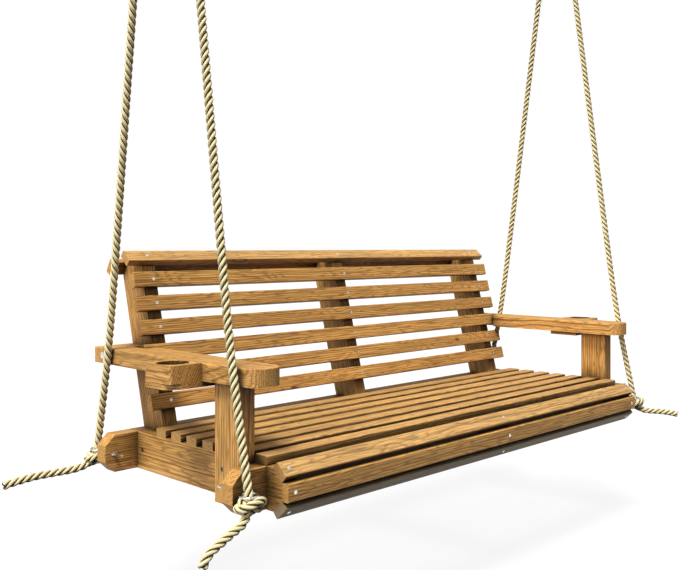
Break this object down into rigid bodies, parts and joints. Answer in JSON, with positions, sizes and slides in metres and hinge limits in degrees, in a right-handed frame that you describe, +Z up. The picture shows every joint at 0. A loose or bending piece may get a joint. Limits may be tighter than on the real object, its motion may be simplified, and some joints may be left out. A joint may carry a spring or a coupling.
{
  "type": "porch swing",
  "caption": "Two-seat wooden porch swing: slatted seat and rolled slatted back on three-part side frames, flat arms with cup holders, hung by four laid ropes knotted under eye bolts.",
  "frame": {"origin": "on the ceiling, midway between the two hangers that the swing's ropes hang from", "axes": "+X along the seat to the sitter's left seen from in front of it (the right end of the views from the front), -Y to the front, +Z up"},
  "size_m": [1.9727, 0.7851, 2.0407],
  "materials": {
    "wood_frame": "stained softwood, satin",
    "wood_slat": "stained softwood, satin",
    "steel": "zinc plated",
    "galvanised": "galvanised",
    "rope": "three-strand laid rope, matt"
  },
  "bodies": {
    "ceiling_hangers": {"hanger_left": "galvanised", "hanger_right": "galvanised", "hanger_pins": "galvanised", "hanger_nuts": "galvanised"},
    "swing": {"arm_block_bolts": "steel", "arm_block_left": "wood_frame", "arm_block_right": "wood_frame", "arm_left": "wood_frame", "arm_post_left": "wood_frame", "arm_post_right": "wood_frame", "arm_right": "wood_frame", "back_slat_1": "wood_slat", "back_slat_2": "wood_slat", "back_slat_3": "wood_slat", "back_slat_4": "wood_slat", "back_slat_5": "wood_slat", "back_slat_6": "wood_slat", "back_upright_centre": "wood_frame", "back_upright_left": "wood_frame", "back_upright_right": "wood_frame", "cup_plate_left": "wood_frame", "cup_plate_right": "wood_frame", "cup_ring_left": "wood_frame", "cup_ring_right": "wood_frame", "eye_bolt_nuts": "steel", "eye_bolt_washers": "steel", "eye_bolts": "steel", "frame_bolt_nuts": "steel", "frame_bolts": "steel", "front_cross_beam": "wood_frame", "front_slat_lower": "wood_slat", "front_slat_middle": "wood_slat", "front_slat_upper": "wood_slat", "knot_front_left": "rope", "knot_front_right": "rope", "knot_rear_left": "rope", "knot_rear_right": "rope", "rear_cross_beam": "wood_frame", "rope_front_left": "rope", "rope_front_right": "rope", "rope_rear_left": "rope", "rope_rear_right": "rope", "rope_tail_front_left": "rope", "rope_tail_front_right": "rope", "rope_tail_rear_left": "rope", "rope_tail_rear_right": "rope", "seat_slat_1": "wood_slat", "seat_slat_2": "wood_slat", "seat_slat_3": "wood_slat", "seat_slat_4": "wood_slat", "seat_slat_5": "wood_slat", "seat_slat_6": "wood_slat", "seat_slat_7": "wood_slat", "seat_support_centre": "wood_frame", "seat_support_left": "wood_frame", "seat_support_right": "wood_frame", "slat_screws": "steel", "top_cap_slat": "wood_slat", "top_rear_slat": "wood_slat"}
  },
  "joints": [
    {"name": "swing_on_hangers", "type": "hinge", "parent": "ceiling_hangers", "child": "swing", "pos_m": [0, 0, -0.04], "axis": [1, 0, 0], "range_deg": [-16, 16]}
  ]
}
